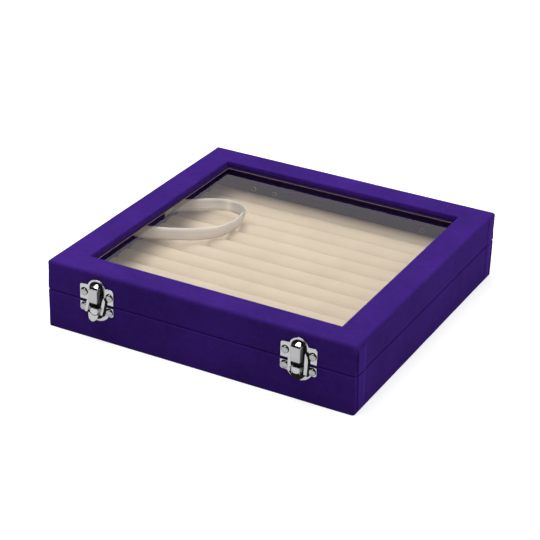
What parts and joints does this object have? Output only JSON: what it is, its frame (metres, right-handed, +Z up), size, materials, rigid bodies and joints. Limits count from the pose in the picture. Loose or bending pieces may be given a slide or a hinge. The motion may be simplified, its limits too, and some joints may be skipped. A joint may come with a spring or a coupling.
{
  "type": "glass-top ring box",
  "caption": "Shallow square display case for rings: velvet base with foam ring rolls, hinged lid with a glass pane, two toggle latches and a ribbon stay.",
  "frame": {"origin": "centre of the underside of the base, on the surface the box stands on", "axes": "+Z up; +X to the right along the front, where the latches are; +Y from the front to the hinges at the back"},
  "size_m": [0.233, 0.2442, 0.05],
  "materials": {
    "purple_velvet": "matte",
    "dark_lining": "matte",
    "fibreboard": "matte",
    "brown_card": "matte",
    "flocked_sheet": "matte",
    "cream_suede": "matte",
    "clear_glass": "polished",
    "chrome": "polished",
    "satin_ribbon": "satin"
  },
  "bodies": {
    "base": {"bottom_board": "fibreboard", "underside_sheet": "flocked_sheet", "base_front_board": "fibreboard", "base_back_board": "fibreboard", "base_left_board": "fibreboard", "base_right_board": "fibreboard", "base_velvet_cover": "purple_velvet", "base_lining": "dark_lining", "ring_roll_01": "cream_suede", "ring_roll_02": "cream_suede", "ring_roll_03": "cream_suede", "ring_roll_04": "cream_suede", "ring_roll_05": "cream_suede", "ring_roll_06": "cream_suede", "ring_roll_07": "cream_suede", "ring_roll_08": "cream_suede", "ring_roll_09": "cream_suede", "ring_roll_10": "cream_suede", "ring_roll_11": "cream_suede", "ring_roll_12": "cream_suede", "ring_roll_13": "cream_suede", "front_ledge": "cream_suede", "left_hinge_base_leaf": "chrome", "left_hinge_pin": "chrome", "left_latch_base_plate": "chrome", "left_latch_lever_pin": "chrome", "left_latch_lower_left_rivet": "chrome", "left_latch_lower_right_rivet": "chrome", "right_hinge_base_leaf": "chrome", "right_hinge_pin": "chrome", "right_latch_base_plate": "chrome", "right_latch_lever_pin": "chrome", "right_latch_lower_left_rivet": "chrome", "right_latch_lower_right_rivet": "chrome", "ribbon_stay": "satin_ribbon"},
    "lid": {"lid_front_board": "fibreboard", "lid_back_board": "fibreboard", "lid_left_board": "fibreboard", "lid_right_board": "fibreboard", "lid_front_rail": "fibreboard", "lid_back_rail": "fibreboard", "lid_left_rail": "fibreboard", "lid_right_rail": "fibreboard", "lid_velvet_cover": "purple_velvet", "glass_pane": "clear_glass", "glass_gasket": "brown_card", "lid_lining": "dark_lining", "left_hinge_lid_leaf": "chrome", "left_latch_lid_plate": "chrome", "left_latch_upper_left_rivet": "chrome", "left_latch_upper_right_rivet": "chrome", "right_hinge_lid_leaf": "chrome", "right_latch_lid_plate": "chrome", "right_latch_upper_left_rivet": "chrome", "right_latch_upper_right_rivet": "chrome"},
    "left_lever": {"left_latch_lever": "chrome"},
    "left_bail": {"left_latch_bail": "chrome"},
    "right_lever": {"right_latch_lever": "chrome"},
    "right_bail": {"right_latch_bail": "chrome"}
  },
  "joints": [
    {"name": "lid_hinge", "type": "hinge", "parent": "base", "child": "lid", "pos_m": [0, 0.1181, 0.0286], "axis": [-1, 0, 0], "range_deg": [0, 100], "deforming": ["ribbon_stay"]},
    {"name": "left_lever_pivot", "type": "hinge", "parent": "base", "child": "left_lever", "pos_m": [-0.0766, -0.1206, 0.0253], "axis": [-1, 0, 0], "range_deg": [0, 75]},
    {"name": "left_bail_pivot", "type": "hinge", "parent": "left_lever", "child": "left_bail", "pos_m": [-0.0766, -0.11959, 0.0222], "axis": [-1, 0, 0], "range_deg": [-87, 0]},
    {"name": "right_lever_pivot", "type": "hinge", "parent": "base", "child": "right_lever", "pos_m": [0.0766, -0.1206, 0.0253], "axis": [-1, 0, 0], "range_deg": [0, 75]},
    {"name": "right_bail_pivot", "type": "hinge", "parent": "right_lever", "child": "right_bail", "pos_m": [0.0766, -0.11959, 0.0222], "axis": [-1, 0, 0], "range_deg": [-87, 0]}
  ],
  "couplings": [
    {"joint": "left_bail_pivot", "follows": "left_lever_pivot", "ratio": -1.15},
    {"joint": "right_bail_pivot", "follows": "right_lever_pivot", "ratio": -1.15}
  ]
}
